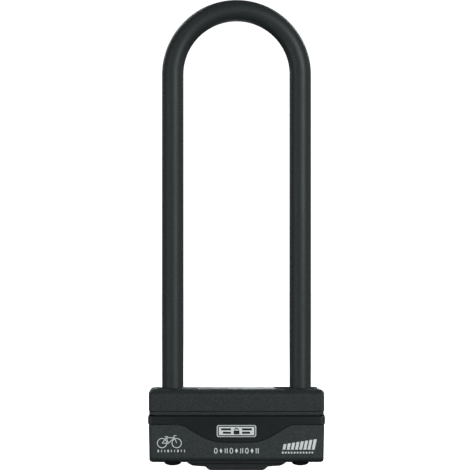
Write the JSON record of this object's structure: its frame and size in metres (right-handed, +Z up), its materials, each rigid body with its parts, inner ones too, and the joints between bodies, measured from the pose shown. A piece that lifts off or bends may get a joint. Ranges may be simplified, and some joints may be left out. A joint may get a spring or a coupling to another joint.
{
  "type": "u lock",
  "caption": "U-shaped bicycle lock: a sleeved steel shackle in a moulded crossbar, with a cam and two bolts driven by a disc cylinder under a sliding keyway cover.",
  "frame": {"origin": "middle of the flat under the keyway guard, on which the lock stands, midway between the two legs", "axes": "+Z up the shackle, +X across from the left leg to the right one as seen from the front, -Y to the front with the badge"},
  "size_m": [0.1404, 0.0392, 0.3751],
  "materials": {
    "sleeve_vinyl": "satin charcoal vinyl coating over the bar",
    "casing_plastic": "fine-grained moulded nylon, charcoal",
    "band_plastic": "smooth, darker than the casing",
    "trim_plastic": "dense black moulding",
    "buffer_rubber": "soft black rubber",
    "bare_steel": "ground and lightly oiled",
    "hardened_steel": "hardened, dark oxide tint",
    "cylinder_brass": "turned brass"
  },
  "bodies": {
    "lock_body": {"upper_casing": "casing_plastic", "lower_casing": "casing_plastic", "trim_band": "band_plastic", "lock_block": "hardened_steel", "bolt_cover": "bare_steel", "cover_screw_1": "bare_steel", "cover_screw_2": "bare_steel", "cover_screw_3": "bare_steel", "cover_screw_4": "bare_steel", "left_leg_bush": "trim_plastic", "right_leg_bush": "trim_plastic", "left_leg_buffer": "buffer_rubber", "right_leg_buffer": "buffer_rubber", "left_socket_plug": "trim_plastic", "right_socket_plug": "trim_plastic", "cylinder_shell": "cylinder_brass", "core_ring": "bare_steel", "cross_pin": "bare_steel", "keyway_guard": "trim_plastic", "left_guard_screw": "bare_steel", "right_guard_screw": "bare_steel", "cover_stop": "bare_steel"},
    "shackle": {"shackle_bar": "bare_steel", "shackle_sleeve": "sleeve_vinyl"},
    "cylinder_core": {"disc_carrier": "cylinder_brass", "drill_guard": "hardened_steel", "disc_1": "cylinder_brass", "disc_2": "cylinder_brass", "disc_3": "cylinder_brass", "disc_4": "cylinder_brass", "disc_5": "cylinder_brass", "disc_6": "cylinder_brass", "disc_7": "cylinder_brass", "disc_8": "cylinder_brass", "disc_spacer_1": "bare_steel", "disc_spacer_2": "bare_steel", "disc_spacer_3": "bare_steel", "disc_spacer_4": "bare_steel", "disc_spacer_5": "bare_steel", "disc_spacer_6": "bare_steel", "disc_spacer_7": "bare_steel", "sidebar": "bare_steel", "bolt_cam": "hardened_steel"},
    "left_bolt_body": {"left_bolt": "hardened_steel"},
    "right_bolt_body": {"right_bolt": "hardened_steel"},
    "keyway_slider": {"keyway_cover": "trim_plastic"}
  },
  "joints": [
    {"name": "shackle_lift", "type": "slide", "parent": "lock_body", "child": "shackle", "axis": [0, 0, 1], "range_m": [0, 0.06]},
    {"name": "core_turn", "type": "hinge", "parent": "lock_body", "child": "cylinder_core", "pos_m": [0, 0, 0.02], "axis": [0, 0, 1], "range_deg": [0, 90]},
    {"name": "left_bolt_slide", "type": "slide", "parent": "lock_body", "child": "left_bolt_body", "axis": [-1, 0, 0], "range_m": [0, 0.006]},
    {"name": "right_bolt_slide", "type": "slide", "parent": "lock_body", "child": "right_bolt_body", "axis": [1, 0, 0], "range_m": [0, 0.00601]},
    {"name": "keyway_cover_slide", "type": "slide", "parent": "lock_body", "child": "keyway_slider", "axis": [1, 0, 0], "range_m": [0, 0.0133]}
  ],
  "couplings": [
    {"joint": "core_turn", "follows": "left_bolt_slide", "rad_per_m": 261.79},
    {"joint": "right_bolt_slide", "follows": "left_bolt_slide", "ratio": 1}
  ]
}
